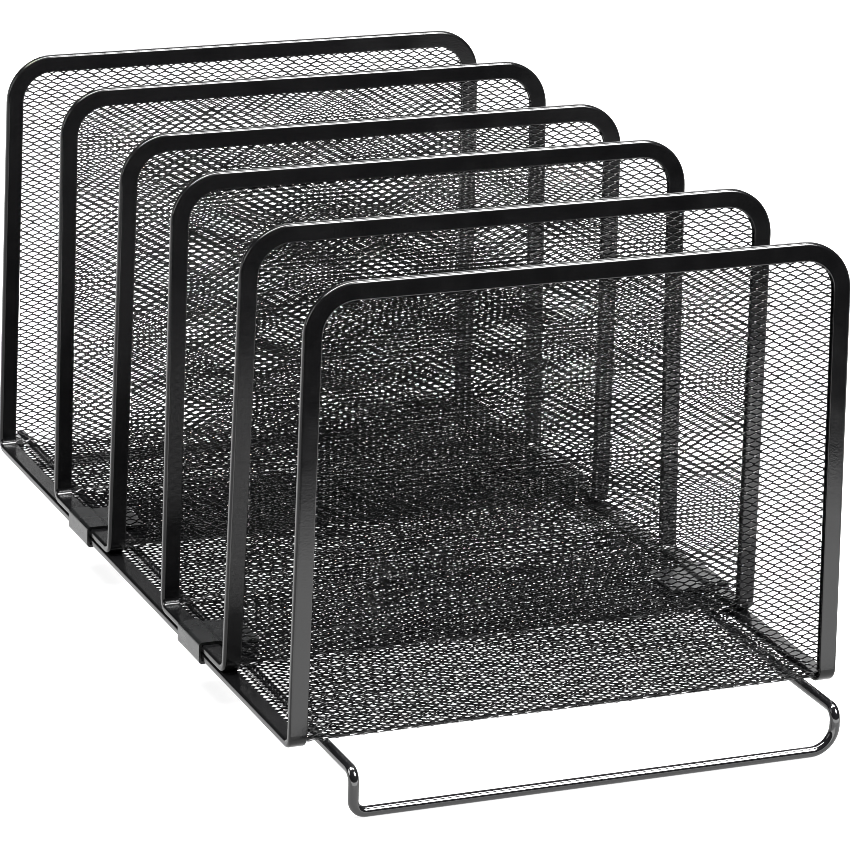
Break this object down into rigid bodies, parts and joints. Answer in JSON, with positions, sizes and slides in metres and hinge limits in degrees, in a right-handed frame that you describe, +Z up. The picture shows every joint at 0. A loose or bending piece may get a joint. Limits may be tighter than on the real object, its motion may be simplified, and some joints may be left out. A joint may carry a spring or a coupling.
{
  "type": "desk organizer",
  "caption": "Desk file sorter with open mesh dividers in bent steel frames, clipped to a wire foot loop.",
  "frame": {"origin": "on the desk under the middle of the sorter, where its two foot bars rest", "axes": "+Z up, front panel towards -Y, +X to the right, seen from the front"},
  "size_m": [0.2096, 0.384, 0.184],
  "materials": {
    "rim_coat": "satin",
    "mesh_coat": "satin",
    "clip_coat": "satin",
    "wire_coat": "gloss"
  },
  "bodies": {
    "root": {"outer_rim": "rim_coat", "outer_mesh": "mesh_coat", "rear_divider_rim": "rim_coat", "rear_divider_mesh": "mesh_coat", "front_divider_rim": "rim_coat", "front_divider_mesh": "mesh_coat", "rear_left_clip": "clip_coat", "rear_right_clip": "clip_coat", "front_left_clip": "clip_coat", "front_right_clip": "clip_coat", "foot_loop": "wire_coat"}
  },
  "joints": []
}
